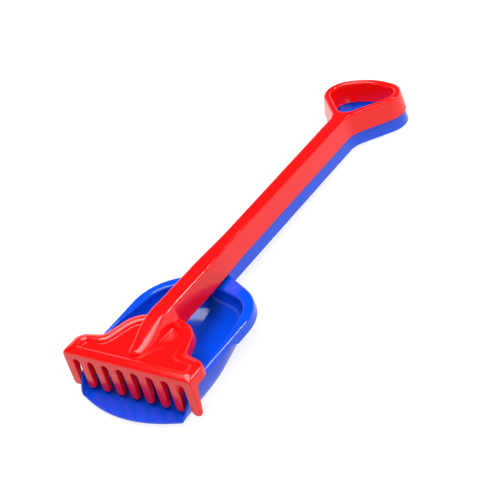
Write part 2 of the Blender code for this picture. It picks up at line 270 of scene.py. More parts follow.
@dataclass(frozen=True)
class ToolFrame:
    """Where the tools' own frame lies in the row frame."""

    pitch: float
    offset: Vector

    @classmethod
    def on(
        cls, lift_axis: Sequence[float], comb_low: Vector, toe: Vector, heel: Vector
    ) -> "ToolFrame":
        """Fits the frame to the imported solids.

        Args:
            lift_axis: The direction in which the rake lifts off, which is the tools' +Z.
            comb_low: The lowest corner of the comb's box in the row frame.
            toe: The comb's foremost low point in the tools' frame.
            heel: The comb's rearmost low point in the tools' frame.

        Returns:
            The frame that puts toe and heel on that box's faces.
        """
        pitch = math.atan2(-lift_axis[1], lift_axis[2])
        turn = Matrix.Rotation(pitch, 3, "X")
        return cls(pitch, Vector((0.0, comb_low.y - (turn @ toe).y, comb_low.z - (turn @ heel).z)))

    def matrix(self) -> Matrix:
        """The transform from the tools' frame to the row frame."""
        return Matrix.Translation(self.offset) @ Matrix.Rotation(self.pitch, 4, "X")


class Skin:
    """An open show-side skin, lofted patch by patch and then finished as one moulding."""

    def __init__(self, name: str) -> None:
        """Starts an empty skin of that name."""
        self.name = name
        self.patches: list[bpy.types.Object] = []

    @property
    def piece(self) -> bpy.types.Object:
        """The object that the patches were joined into."""
        return self.patches[0]

    def loft(self, lines: Sequence[Sequence[Vector]]) -> None:
        """Adds a grid and lays it over lines of points.

        Args:
            lines: Rows of points in space, each with as many points as the next.
        """
        across, along = len(lines[0]) - 1, len(lines) - 1
        bpy.ops.object.select_all(action="DESELECT")
        bpy.ops.mesh.primitive_grid_add(x_subdivisions=across, y_subdivisions=along, size=2.0)
        patch = bpy.context.object
        for vertex in patch.data.vertices:
            i = round((vertex.co.x + 1) / 2 * across)
            j = round((vertex.co.y + 1) / 2 * along)
            vertex.co = lines[j][i]
        self.patches.append(patch)

    def join(self) -> None:
        """Joins the patches, welds their shared edges and adds the mirrored half."""
        bpy.ops.object.select_all(action="DESELECT")
        for patch in self.patches:
            patch.select_set(True)
        bpy.context.view_layer.objects.active = self.piece
        bpy.ops.object.join()
        self.piece.name = self.name
        self.piece.data.name = self.name
        mirror = self.piece.modifiers.new("other half", "MIRROR")
        mirror.merge_threshold = WELD
        bpy.ops.object.modifier_apply(modifier=mirror.name)
        self.weld(WELD)

    def weld(self, reach: float) -> None:
        """Merges points that lie closer together than reach.

        Args:
            reach: The distance, in metres.
        """
        self._edit()
        bpy.ops.mesh.select_all(action="SELECT")
        bpy.ops.mesh.remove_doubles(threshold=reach)
        bpy.ops.mesh.dissolve_degenerate(threshold=WELD)
        bpy.ops.object.mode_set(mode="OBJECT")

    def fill(self, on_rim: Place) -> None:
        """Closes one loop of free edges with a flat face.

        Args:
            on_rim: Says whether a point lies on that loop.
        """
        self._edit()
        self._select_edges(lambda edge: edge.is_boundary and all(on_rim(v.co) for v in edge.verts))
        bpy.ops.mesh.edge_face_add()
        bpy.ops.object.mode_set(mode="OBJECT")

    def face_out(self, towards: Vector) -> None:
        """Turns all faces one way, with the show side looking towards a direction on the whole.

        Args:
            towards: That direction, in the tools' frame.
        """
        self._edit()
        bpy.ops.mesh.select_all(action="SELECT")
        bpy.ops.mesh.normals_make_consistent(inside=False)
        bpy.ops.object.mode_set(mode="OBJECT")
        if sum(face.normal.dot(towards) * face.area for face in self.piece.data.polygons) < 0:
            self._edit()
            bpy.ops.mesh.select_all(action="SELECT")
            bpy.ops.mesh.flip_normals()
            bpy.ops.object.mode_set(mode="OBJECT")

    def round_creases(self, where: Place, width: float, angle: float, segments: int = 4) -> None:
        """Rounds the skin's sharp inner edges.

        Args:
            where: Says whether a point belongs to the creases that are rounded.
            width: The rounding's reach from the crease.
            angle: The least turn between two faces that counts as a crease, in degrees.
            segments: Steps across the rounding.
        """
        least = math.radians(angle)
        self._edit()
        self._select_edges(
            lambda edge: len(edge.link_faces) == 2
            and edge.calc_face_angle(0.0) > least
            and all(where(v.co) for v in edge.verts)
        )
        bpy.ops.mesh.bevel(offset=width, segments=segments, profile=0.5, clamp_overlap=True)
        bpy.ops.object.mode_set(mode="OBJECT")
        self.weld(SMALLEST_EDGE)

    def thicken(self, wall: float) -> None:
        """Gives the skin its wall, behind the show side.

        Args:
            wall: The wall's thickness.
        """
        solid = self.piece.modifiers.new("wall", "SOLIDIFY")
        solid.thickness = wall
        solid.offset = -1.0
        solid.use_even_offset = True
        bpy.context.view_layer.objects.active = self.piece
        bpy.ops.object.modifier_apply(modifier=solid.name)

    def round_rims(self, width: float, segments: int = 3) -> None:
        """Rounds the free edges of the wall.

        Args:
            width: The rounding's reach along each face.
            segments: Steps across the rounding.
        """
        rims = self.piece.modifiers.new("rounded rims", "BEVEL")
        rims.width = width
        rims.segments = segments
        rims.limit_method = "ANGLE"
        rims.angle_limit = math.radians(58)
        rims.harden_normals = False
        bpy.context.view_layer.objects.active = self.piece
        bpy.ops.object.modifier_apply(modifier=rims.name)

    def mark(self, name: str, amount: Callable[[Vector], float]) -> None:
        """Stores a worked-out number on every point, for the finish to read.

        Args:
            name: The attribute's name.
            amount: Gives the number for a point in the tools' frame.
        """
        attribute = self.piece.data.attributes.new(name, "FLOAT", "POINT")
        attribute.data.foreach_set("value", [amount(v.co) for v in self.piece.data.vertices])

    def settle(self, frame: ToolFrame) -> None:
        """Shades the moulding smoothly and moves its mesh to its place in the row frame.

        Args:
            frame: Where the tools lie.
        """
        bpy.ops.object.select_all(action="DESELECT")
        self.piece.select_set(True)
        bpy.context.view_layer.objects.active = self.piece
        bpy.ops.object.shade_smooth_by_angle(angle=math.radians(40))
        weighted = self.piece.modifiers.new("flat faces stay flat", "WEIGHTED_NORMAL")
        weighted.keep_sharp = True
        bpy.ops.object.modifier_apply(modifier=weighted.name)
        self.piece.matrix_world = frame.matrix()
        bpy.ops.object.transform_apply(location=True, rotation=True, scale=True)

    def _edit(self) -> None:
        """Opens the piece in edit mode, picking edges."""
        bpy.ops.object.select_all(action="DESELECT")
        self.piece.select_set(True)
        bpy.context.view_layer.objects.active = self.piece
        bpy.ops.object.mode_set(mode="EDIT")
        bpy.ops.mesh.select_mode(type="EDGE")

    def _select_edges(self, wanted: Callable[[bmesh.types.BMEdge], bool]) -> None:
        """Selects the edges that pass a test, and nothing else.

        Args:
            wanted: The test.
        """
        bpy.ops.mesh.select_all(action="DESELECT")
        mesh = bmesh.from_edit_mesh(self.piece.data)
        mesh.normal_update()
        for edge in mesh.edges:
            if wanted(edge):
                edge.select_set(True)
        bmesh.update_edit_mesh(self.piece.data)


@dataclass(frozen=True)
class Channel:
    """The section that both handles share: a flat back, rounded edges and drafted sides."""

    height: float = 0.0227
    draft: float = math.tan(math.radians(8.5))
    edge_radius: float = 0.0032
    edge_turn: float = 81.5
    edge_steps: int = 9
    half_width_middle: float = 0.0079
    widening: float = 0.0052

    def profile(self) -> list[tuple[float, float]]:
        """Steps (outward, height) from the flat back round the edge and down to the foot.

        Returns:
            The steps, relative to the back's sharp edge.
        """
        steps = []
        for i in range(self.edge_steps + 1):
            angle = math.radians(self.edge_turn) * i / self.edge_steps
            out, z = math.sin(angle) - 1, math.cos(angle) - 1
            steps.append((self.edge_radius * out, self.edge_radius * z))
        last_out, last_z = steps[-1]
        drop = self.height + last_z
        for share in (1 / 3, 2 / 3, 1.0):
            steps.append((last_out + drop * share * self.draft, last_z - drop * share))
        return steps

    def half_width(self, y: float) -> float:
        """Half the back's width, to its sharp edge."""
        return self.half_width_middle + self.widening * y

    def foot_reach(self, y: float) -> float:
        """Half the channel's width at its foot."""
        return self.half_width(y) + self.profile()[-1][0]


@dataclass(frozen=True)
class Grip:
    """The looped grip's sizes: a rounded three-cornered finger hole in a band."""

    mouth_y: float = 0.150
    near_y: float = 0.1662
    near_radius: float = 0.0127
    side_x: float = 0.0500
    side_y: float = 0.2245
    side_radius: float = 0.0173
    far_y: float = 0.2404
    far_radius: float = 0.060
    band: float = 0.0082
    neck_radius: float = 0.030

    def hole(self) -> Outline:
        """The finger hole, closed.

        Returns:
            Its outline, from the near end round by the right side.
        """
        near = Corner(0.0, self.near_y, self.near_radius, 2 * (ARC_STEPS + 2))
        side = Corner(self.side_x, self.side_y, self.side_radius)
        far = Corner(0.0, self.far_y, self.far_radius)
        other = Corner(-self.side_x, self.side_y, self.side_radius)
        return Outline((near, side, far, other))

    def rim(self, half_mouth: float) -> Outline:
        """The band's outer edge, from the handle's side round to the other side.

        Args:
            half_mouth: Half the handle's width where the grip begins.

        Returns:
            The open outline.
        """
        near, side, far = (corner.place for corner in self.hole().corners[:3])
        side_leg = (side - near).normalized()
        far_leg = (far - side).normalized()
        side_out = Vector((side_leg.y, -side_leg.x)) * self.band
        far_out = Vector((far_leg.y, -far_leg.x)) * self.band
        neck = crossing(Vector((half_mouth, 0)), Vector((0, 1)), near + side_out, side_leg)
        corner = crossing(side + side_out, side_leg, far + far_out, far_leg)
        far_corner = crossing(far + far_out, far_leg, Vector((0, 0)), Vector((0, 1)))
        corner_radius = self.side_radius + self.band
        half = [
            Corner(half_mouth, self.mouth_y),
            Corner(neck.x, neck.y, self.neck_radius),
            Corner(corner.x, corner.y, corner_radius),
        ]
        far_end = Corner(0.0, far_corner.y, self.far_radius + self.band)
        other = [Corner(-c.x, c.y, c.radius) for c in reversed(half)]
        return Outline((*half, far_end, *other), slides=((1, 0), (1, 0)))


class Tool(Enum):
    """The two nested tools, with the body and the record's slot that each belongs to."""

    RAKE = ("rake", "rake_plastic")
    SCOOP = ("scoop", "scoop_plastic")

    @property
    def body(self) -> str:
        """The body that the tool moves with."""
        return self.value[0]

    @property
    def slot(self) -> str:
        """The record's material slot."""
        return self.value[1]


@dataclass(frozen=True)
class GlossPlastic:
    """Glossy moulded polypropylene with the faint marks that moulding and play leave."""

    name: str
    colour: tuple[float, float, float]
    deep: tuple[float, float, float]
    scuffed: tuple[float, float, float]
    gloss_roughness: float = 0.10
    cloudiness: float = 0.05
    dust_roughness: float = 0.10
    worn_roughness: float = 0.06
    worn_paleness: float = 0.25
    glow: float = 0.02
    glow_reach: tuple[float, float, float] = (0.004, 0.0015, 0.0015)
    glow_scale: float = 0.6
    cloud_scale: float = 26.0
    speckle_scale: float = 900.0
    wave_scale: float = 70.0
    streak_scale: tuple[float, float, float] = (900.0, 45.0, 300.0)
    streak_slant: float = 7.0
    wave_depth: float = 0.00012
    grain_depth: float = 0.000004
    scratch_depth: float = 0.000003

    def material(self) -> Material:
        """Builds the finish.

        Returns:
            A material that reads Object coordinates and the attribute scuff.
        """
        material = bpy.data.materials.new(self.name)
        material.use_nodes = True
        nodes = material.node_tree.nodes
        shader = nodes["Principled BSDF"]
        shader.inputs["Metallic"].default_value = 0.0
        shader.inputs["IOR"].default_value = 1.49
        shader.inputs["Subsurface Weight"].default_value = self.glow
        shader.inputs["Subsurface Radius"].default_value = self.glow_reach
        shader.inputs["Subsurface Scale"].default_value = self.glow_scale
        place = nodes.new("ShaderNodeTexCoord").outputs["Object"]
        clouds = self._noise(material, place, self.cloud_scale, 3.0)
        speckle = self._noise(material, place, self.speckle_scale, 2.0)
        streaks = self._streaks(material, place)
        scuff = nodes.new("ShaderNodeAttribute")
        scuff.attribute_name = "scuff"
        wear = self._math(material, "MULTIPLY", scuff.outputs["Fac"], streaks)
        self._colour(material, shader, clouds, wear)
        self._roughness(material, shader, clouds, speckle, wear)
        self._bump(material, shader, place, speckle, wear)
        return material

    def _noise(self, material: Material, place: Socket, scale: float, detail: float) -> Socket:
        """A noise of that scale on the piece, as a socket from 0 to 1.

        Args:
            material: The material whose node tree grows.
            place: The point's place on the piece.
            scale: How many of its grains fit in a metre.
            detail: Its octaves.

        Returns:
            The noise's socket.
        """
        noise = material.node_tree.nodes.new("ShaderNodeTexNoise")
        noise.inputs["Scale"].default_value = scale
        noise.inputs["Detail"].default_value = detail
        material.node_tree.links.new(place, noise.inputs["Vector"])
        return noise.outputs["Fac"]

    def _streaks(self, material: Material, place: Socket) -> Socket:
        """Fine drag marks that run the way sand runs along the tool, from 0 to 1.

        Args:
            material: The material whose node tree grows.
            place: The point's place on the piece.

        Returns:
            The marks' socket.
        """
        nodes, links = material.node_tree.nodes, material.node_tree.links
        mapping = nodes.new("ShaderNodeMapping")
        mapping.inputs["Scale"].default_value = self.streak_scale
        mapping.inputs["Rotation"].default_value = (0.0, 0.0, math.radians(self.streak_slant))
        links.new(place, mapping.inputs["Vector"])
        noise = self._noise(material, mapping.outputs["Vector"], 1.0, 4.0)
        return self._ranged(material, noise, (0.52, 0.72), (0.0, 1.0))

    def _math(
        self, material: Material, operation: str, first: Socket, second: Socket | float
    ) -> Socket:
        """One step of arithmetic on two sockets, or a socket and a number.

        Args:
            material: The material whose node tree grows.
            operation: The step's name in Blender.
            first: The first operand.
            second: The second operand.

        Returns:
            The result's socket.
        """
        step = material.node_tree.nodes.new("ShaderNodeMath")
        step.operation = operation
        material.node_tree.links.new(first, step.inputs[0])
        if isinstance(second, float):
            step.inputs[1].default_value = second
        else:
            material.node_tree.links.new(second, step.inputs[1])
        return step.outputs[0]

    def _ranged(
        self, material: Material, value: Socket, before: tuple[float, float], after: tuple[float, float]
    ) -> Socket:
        """Maps a socket's range before onto the range after, clamped.

        Args:
            material: The material whose node tree grows.
            value: The socket.
            before: Its lower and upper value.
            after: What those two become.

        Returns:
            The mapped socket.
        """
        ranged = material.node_tree.nodes.new("ShaderNodeMapRange")
        for name, number in zip(("From Min", "From Max", "To Min", "To Max"), (*before, *after)):
            ranged.inputs[name].default_value = number
        material.node_tree.links.new(value, ranged.inputs["Value"])
        return ranged.outputs["Result"]

    def _colour(
        self, material: Material, shader: bpy.types.Node, clouds: Socket, wear: Socket
    ) -> None:
        """Pigment that varies a little, and pales where the surface is scuffed.

        Args:
            material: The material whose node tree grows.
            shader: The Principled node that is fed.
            clouds: Large, soft noise.
            wear: How scuffed the surface is there.
        """
        nodes, links = material.node_tree.nodes, material.node_tree.links
        pigment = nodes.new("ShaderNodeMix")
        pigment.data_type = "RGBA"
        pigment.inputs["A"].default_value = (*self.colour, 1.0)
        pigment.inputs["B"].default_value = (*self.deep, 1.0)
        links.new(self._ranged(material, clouds, (0.35, 0.75), (0.0, 1.0)), pigment.inputs["Factor"])
        worn = nodes.new("ShaderNodeMix")
        worn.data_type = "RGBA"
        worn.inputs["B"].default_value = (*self.scuffed, 1.0)
        links.new(pigment.outputs["Result"], worn.inputs["A"])
        links.new(self._math(material, "MULTIPLY", wear, self.worn_paleness), worn.inputs["Factor"])
        links.new(worn.outputs["Result"], shader.inputs["Base Color"])

    def _roughness(
        self, material: Material, shader: bpy.types.Node, clouds: Socket, speckle: Socket, wear: Socket
    ) -> None:
        """Gloss with faint cloudiness and dust, and dull scuffs.

        Args:
            material: The material whose node tree grows.
            shader: The Principled node that is fed.
            clouds: Large, soft noise.
            speckle: Fine noise.
            wear: How scuffed the surface is there.
        """
        cloudy = self.gloss_roughness + self.cloudiness
        base = self._ranged(material, clouds, (0.3, 0.7), (self.gloss_roughness, cloudy))
        dust = self._ranged(material, speckle, (0.62, 0.74), (0.0, self.dust_roughness))
        dulled = self._math(material, "MULTIPLY", wear, self.worn_roughness)
        total = self._math(material, "ADD", self._math(material, "ADD", base, dust), dulled)
        material.node_tree.links.new(total, shader.inputs["Roughness"])

    def _bump(
        self, material: Material, shader: bpy.types.Node, place: Socket, speckle: Socket, wear: Socket
    ) -> None:
        """The shallow waviness of a cooled moulding, its finest grain, and scratches.

        Args:
            material: The material whose node tree grows.
            shader: The Principled node that is fed.
            place: The point's place on the piece.
            speckle: Fine noise.
            wear: How scuffed the surface is there.
        """
        nodes, links = material.node_tree.nodes, material.node_tree.links
        previous = None
        waves = self._noise(material, place, self.wave_scale, 1.0)
        depths = ((waves, self.wave_depth), (speckle, self.grain_depth), (wear, self.scratch_depth))
        for height, depth in depths:
            bump = nodes.new("ShaderNodeBump")
            bump.inputs["Strength"].default_value = 0.6
            bump.inputs["Distance"].default_value = depth
            links.new(height, bump.inputs["Height"])
            if previous is not None:
                links.new(previous, bump.inputs["Normal"])
            previous = bump.outputs["Normal"]
        links.new(previous, shader.inputs["Normal"])


@dataclass
class NestedTool:
    """What rake and scoop share: a channel handle that ends in the looped grip."""

    tool: Tool
    name: str
    nodes: tuple[str, ...]
    finish: GlossPlastic
    drop: float
    channel: Channel = field(default_factory=Channel)
    grip: Grip = field(default_factory=Grip)
    wall: float = 0.0016
    rim_round: float = 0.0005
    shaft_stations: int = 60

    def widening(self, y: float) -> float:
        """How much wider than the plain channel the handle is there."""
        return 0.0

    def head(self, skin: Skin) -> list[Vector]:
        """Lofts the working end and returns the handle's section where it begins."""
        raise NotImplementedError

    def close(self, skin: Skin) -> None:
        """Fills the working end's flat faces and rounds its creases."""
        raise NotImplementedError

    def scuff(self, point: Vector) -> float:
        """How much sand has worn the surface there, from 0 to 1."""
        raise NotImplementedError

    def build(self, frame: ToolFrame) -> bpy.types.Object:
        """Makes the whole moulding.

        Args:
            frame: Where the tools lie.

        Returns:
            The finished piece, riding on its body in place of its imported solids.
        """
        skin = Skin(self.name)
        self.loft_shaft(skin, self.head(skin))
        self.loft_grip(skin)
        skin.join()
        self.close(skin)
        skin.thicken(self.wall)
        skin.round_rims(self.rim_round)
        skin.mark("scuff", self.scuff)
        skin.settle(frame)
        piece = skin.piece
        piece.data.materials.clear()
        piece.data.materials.append(self.finish.material())
        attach(piece, self.tool.body)
        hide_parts(*self.nodes)
        return piece

    def section(self, y: float) -> list[Vector]:
        """Half of the handle's section, from the middle of its back to its foot.

        Args:
            y: Where along the handle it lies.

        Returns:
            The section's points.
        """
        half = self.channel.half_width(y) + self.widening(y)
        edge = [Vector((half + out, y, z - self.drop)) for out, z in self.channel.profile()]
        return [Vector((0.0, y, -self.drop)), *edge]

    def loft_shaft(self, skin: Skin, first: list[Vector]) -> None:
        """Lofts the straight handle.

        Args:
            skin: The skin that it becomes part of.
            first: The section that it starts from, at the head.
        """
        start_y = first[0].y
        step = (self.grip.mouth_y - start_y) / self.shaft_stations
        sections = [self.section(start_y + step * i) for i in range(1, self.shaft_stations + 1)]
        skin.loft([first, *sections])

    def loft_grip(self, skin: Skin) -> None:
        """Lofts half of the looped grip: the hole's wall, the outer wall and the back.

        Args:
            skin: The skin that it becomes part of.
        """
        profile = self.channel.profile()
        hole = self.grip.hole()
        rim = self.grip.rim(self.channel.half_width(self.grip.mouth_y))
        near_half = hole.corners[0].steps // 2
        kept = near_half + 1 + (ARC_STEPS + 1) + ARC_STEPS // 2 + 1

        def hole_row(out: float, z: float) -> list[Vector]:
            """Half of the hole's edge at one step of the profile."""
            return raised(hole.points(-out)[near_half:near_half + kept], z - self.drop)

        def rim_row(out: float, z: float) -> list[Vector]:
            """Half of the band's outer edge at one step of the profile."""
            return raised(rim.points(out)[:kept - 1], z - self.drop)

        skin.loft([hole_row(out, z) for out, z in profile])
        skin.loft([rim_row(out, z) for out, z in profile])
        mouth = Vector((0.0, self.grip.mouth_y, -self.drop))
        skin.loft([hole_row(*profile[0]), [mouth, *rim_row(*profile[0])]])

    def nose_columns(self, feet: Sequence[Vector], spine: Sequence[Vector]) -> list[list[Vector]]:
        """The handle's rounded end, softer towards its tip.

        Args:
            feet: Where the nose's foot runs.
            spine: Where its ridge runs, a point for each foot.

        Returns:
            Columns of points from the ridge down to the foot.
        """
        profile = self.channel.profile()
        foot_out, foot_z = profile[-1]
        columns = []
        run = feet[0].y - feet[-1].y
        for foot, top in zip(feet, spine):
            softness = ((feet[0].y - foot.y) / run) ** 2
            half = self.channel.half_width(feet[0].y) + self.widening(feet[0].y)
            shares = [(0.0, 0.0)]
            shares += [((half + out) / (half + foot_out), z / foot_z) for out, z in profile]
            column = []
            for k, (reach, depth) in enumerate(shares):
                angle = math.pi / 2 * k / (len(shares) - 1)
                reach += (math.sin(angle) - reach) * softness
                depth += (1 - math.cos(angle) - depth) * softness
                place = top.lerp(foot, reach)
                place.z = top.z + (foot.z - top.z) * depth
                column.append(place)
            columns.append(column)
        return columns

    def spine(
        self, feet: Sequence[Vector], end_y: float, fall_y: float, fall: float
    ) -> list[Vector]:
        """The ridge over the nose's feet.

        Args:
            feet: Where the nose's foot runs.
            end_y: Where the ridge stops.
            fall_y: Where it starts to fall.
            fall: How far it falls by its end.

        Returns:
            A point on the middle plane for each foot.
        """
        points = []
        for foot in feet:
            y = max(foot.y, end_y)
            share = eased((fall_y - y) / (fall_y - end_y))
            points.append(Vector((0.0, y, -self.drop - fall * share)))
        return points


@dataclass
class Rake(NestedTool):
    """The rake: a recessed plate in a rounded bead, a skirt, a comb of tines and a nose."""

    mouth_y: float = -0.171
    root_start_y: float = -0.055
    root_length: float = 0.065
    root_widening: float = 0.0024
    flare: float = 0.0012
    lean: float = 0.0004
    plate_z: float = -0.0150
    bead_z: float = -0.0125
    bead_crown: float = 0.0009
    bead_reach: float = 0.0026
    bead_overhang: float = 0.00108
    bead_fall: float = 0.0030
    bead_slope: float = 0.0024
    half_width: float = 0.0702
    front_y: float = -0.2403
    front_radius: float = 0.0035
    edge_radius: float = 0.0012
    shoulder: Corner = Corner(0.0340, -0.1800, 0.024)
    waist: Corner = Corner(0.0450, -0.2110, 0.009)
    rear_corner_y: float = -0.2170
    rear_corner_radius: float = 0.010
    plate_start_y: float = -0.1810
    plate_corners: tuple[Corner, ...] = (
        Corner(0.0275, -0.1880, 0.018),
        Corner(0.0385, -0.2190, 0.012),
        Corner(0.0600, -0.2215, 0.004),
        Corner(0.0605, -0.2325, 0.003),
    )
    nose_tip_y: float = -0.2268
    nose_side_y: float = -0.2030
    nose_side_radius: float = 0.030
    nose_half: float = 0.0125
    nose_narrowing: float = 0.0050
    nose_roundness: float = 0.95
    ridge_end_y: float = -0.2230
    ridge_fall_y: float = -0.1840
    ridge_fall: float = 0.0105
    nose_fillet: float = 0.0011
    nose_points: int = 60
    tines: int = 9
    tine_pitch: float = 0.0166
    slot_width: float = 0.0072
    slot_top_z: float = -0.0205
    tine_tip_z: float = -0.0527
    tine_taper: float = 0.0006
    tip_roundness: float = 0.97
    slot_roundness: float = 0.48
    comb_top_z: float = -0.0162
    comb_depth: float = 0.0076
    tip_depth: float = 0.0029
    bead_steps: int = 7

    def widening(self, y: float) -> float:
        """The rake's handle grows wider than the scoop's towards its head."""
        return self.root_widening * eased((self.root_start_y - y) / self.root_length)

    def scuff(self, point: Vector) -> float:
        """Sand wears the tines' tips most, and the grip a little."""
        return max(eased((-0.036 - point.z) / 0.016), 0.25 * eased((point.y - 0.19) / 0.04))

    def outer(self, inset: float, radius: float) -> list[Vector]:
        """Half of the head's outer outline.

        Args:
            inset: How far inside the bead's widest line it runs.
            radius: The radius of its front corner.

        Returns:
            Points from the handle's side round to the middle of the front.
        """
        start = self.nose_start()
        corners = (
            Corner(*start),
            self.shoulder,
            self.waist,
            Corner(self.half_width, self.rear_corner_y, self.rear_corner_radius),
            Corner(self.half_width, self.front_y, radius + inset),
            Corner(0.0, self.front_y),
        )
        points = Outline(corners, (self.nose_slide(), (0, 1))).points(inset)
        side = 3 * (ARC_STEPS + 1)
        behind, ahead = points[side], points[side + 1]
        share = (self.front_y - self.flare + self.comb_depth - behind.y) / (ahead.y - behind.y)
        return points[:side + 1] + [behind.lerp(ahead, share)] + points[side + 1:]

    def nose_start(self) -> tuple[float, float]:
        """Where the handle's foot meets the head's bead."""
        return self.channel.foot_reach(self.mouth_y) + self.root_widening, self.mouth_y - self.flare

    def nose_slide(self) -> tuple[float, float]:
        """The direction of the nose's foot from there."""
        start = self.nose_start()
        return self.nose_half - start[0], self.nose_side_y - start[1]

    def head(self, skin: Skin) -> list[Vector]:
        """Lofts bead, skirt, comb and nose.

        Args:
            skin: The skin that they become part of.

        Returns:
            The handle's section at the head.
        """
        wall = raised(self.outer(-self.flare, self.edge_radius), self.comb_top_z)
        side = 3 * (ARC_STEPS + 1) + 2
        foot = self.outer(-self.flare - self.lean, self.edge_radius)[:side]
        skirt = raised(foot, -self.channel.height)
        skin.loft([skirt, wall[:side]])
        lines = [wall]
        for k in range(self.bead_steps + 1):
            angle = math.pi / 2 * k / self.bead_steps
            inset = self.bead_reach - (self.bead_reach + self.bead_overhang) * math.cos(angle)
            z = self.bead_z - self.bead_fall * (1 - math.sin(angle))
            radius = self.edge_radius + (self.front_radius - self.edge_radius) * math.sin(angle)
            lines.append(raised(self.outer(inset, radius), z))
        lines += self.plate_rows(lines[-1])
        skin.loft(lines)
        return self.loft_nose(skin, [skirt[0]] + [line[0] for line in lines[:-1]], lines[-1])

    def plate_rows(self, crown_edge: list[Vector]) -> list[list[Vector]]:
        """Rows from the bead's crown down its inner slope to the plate.

        Args:
            crown_edge: The bead's outer row at its full height.

        Returns:
            The rows, the last one on the plate.
        """
        start = Corner(self.nose_start()[0], self.plate_start_y)
        front = Corner(0.0, self.plate_corners[-1].y)
        chain = Outline((start, *self.plate_corners, front), (self.nose_slide(), (0, 1)))

        def stepped(inset: float, z: float) -> list[Vector]:
            """One row, with a point more on its side, as the outer rows have.

            Args:
                inset: How far inside the plate's outline it runs.
                z: Its height.

            Returns:
                The row's points.
            """
            points = chain.points(inset)
            side = 3 * (ARC_STEPS + 1)
            middle = points[side].lerp(points[side + 1], 0.5)
            return raised(points[:side + 1] + [middle] + points[side + 1:], z)

        inner = stepped(0.0, self.bead_z)
        rows = []
        for share in (0.25, 0.5, 0.75):
            lift = self.bead_crown * 4 * share * (1 - share)
            row = [a.lerp(b, share) + Vector((0, 0, lift)) for a, b in zip(crown_edge, inner)]
            rows.append(row)
        for k in range(self.bead_steps + 1):
            share = k / self.bead_steps
            z = self.bead_z + (self.plate_z - self.bead_z) * eased(share)
            rows.append(stepped(self.bead_slope * share, z))
        return rows

    def loft_nose(self, skin: Skin, feet: list[Vector], plate_edge: list[Vector]) -> list[Vector]:
        """Lofts the handle's nose down onto the plate.

        Args:
            skin: The skin that it becomes part of.
            feet: Where the handle's side climbs the bead, up to the plate's edge.
            plate_edge: The plate's edge row.

        Returns:
            The nose's first column, where the straight handle begins.
        """
        start = self.nose_start()
        tip_half = self.nose_half - self.nose_narrowing
        corners = (
            Corner(*start),
            Corner(self.nose_half, self.nose_side_y, self.nose_side_radius),
            Corner(tip_half, self.nose_tip_y, tip_half * self.nose_roundness, 2 * ARC_STEPS),
            Corner(0.0, self.nose_tip_y),
        )
        foot = Outline(corners, (self.nose_slide(), (0, 1))).points()
        on_plate = [plate_edge[0].xy, *(p for p in foot if p.y < plate_edge[0].y)]
        feet = feet + raised(resampled(on_plate, self.nose_points), self.plate_z)
        spine = self.spine(feet, self.ridge_end_y, self.ridge_fall_y, self.ridge_fall)
        columns = self.nose_columns(feet, spine)
        skin.loft(columns)
        self.loft_comb(skin)
        return columns[0]

    def comb_outline(self, inset: float) -> list[Vector]:
        """Half of the comb's edge in its front plane, from the outer side to the middle tine.

        Args:
            inset: How far inside the tines' full width the edge runs.

        Returns:
            Points (x, z).
        """
        half = self.half_width + self.flare
        tip = (self.tine_pitch - self.slot_width) / 2 - self.tine_taper
        foot_z = -self.channel.height
        corners = [Corner(half, self.comb_top_z), Corner(half + self.lean, foot_z, 0.0, 1)]
        for i in range(self.tines):
            centre = self.tine_pitch * ((self.tines - 1) / 2 - i)
            outer = half + self.lean if i == 0 else centre + tip
            inner = -half - self.lean if i == self.tines - 1 else centre - tip
            corners.append(Corner(outer, self.tine_tip_z, tip * self.tip_roundness))
            corners.append(Corner(inner, self.tine_tip_z, tip * self.tip_roundness))
            if i < self.tines - 1:
                slot = centre - self.tine_pitch / 2
                for side in (self.slot_width / 2, -self.slot_width / 2):
                    radius = self.slot_width * self.slot_roundness
                    corners.append(Corner(slot + side, self.slot_top_z, radius))
        corners += [Corner(-half - self.lean, foot_z, 0.0, 1), Corner(-half, self.comb_top_z)]
        points = Outline(tuple(corners), ((1, 0), (1, 0)), least_radius=0.0).points(inset)
        middle = next(i for i, p in enumerate(points) if p.x < WELD)
        return points[:middle] + [Vector((0.0, self.tine_tip_z + inset))]

    def loft_comb(self, skin: Skin) -> None:
        """Lofts the rounded edge and the returned wall round every tine.

        Args:
            skin: The skin that it becomes part of.
        """
        front = self.front_y - self.flare
        rows = []
        for k in range(ARC_STEPS + 1):
            angle = math.pi / 2 * k / ARC_STEPS
            y = front + self.edge_radius * (1 - math.cos(angle))
            edge = self.comb_outline(self.edge_radius * (1 - math.sin(angle)))
            rows.append([Vector((p.x, y, p.y)) for p in edge])
        rows.append([Vector((p.x, front + self.depth(p.z), p.z)) for p in rows[-1]])
        skin.loft(rows)

    def depth(self, z: float) -> float:
        """How deep the comb's returned walls are: full down to the skirt's foot, least at the tips.

        Args:
            z: A height on the comb.

        Returns:
            The walls' depth there, from the comb's face.
        """
        foot_z = -self.channel.height
        share = min(max((foot_z - z) / (foot_z - self.tine_tip_z), 0.0), 1.0)
        return self.comb_depth + (self.tip_depth - self.comb_depth) * share

    def close(self, skin: Skin) -> None:
        """Fills the plate and the comb's face, and rounds the nose's foot.

        Args:
            skin: The joined skin.
        """
        front = self.front_y - self.flare
        skin.fill(lambda p: abs(p.z - self.plate_z) < WELD and p.y > front + self.edge_radius)
        skin.fill(lambda p: abs(p.y - front) < WELD)
        skin.face_out(Vector((0, 0, 1)))
        reach = self.nose_half + 0.002

        def at_nose_foot(p: Vector) -> bool:
            """Whether a point lies where the nose meets the plate."""
            along = self.nose_tip_y - WELD < p.y < self.plate_start_y
            return along and abs(p.x) < reach and abs(p.z - self.plate_z) < WELD

        skin.round_creases(at_nose_foot, self.nose_fillet, angle=CREASE_ANGLE)


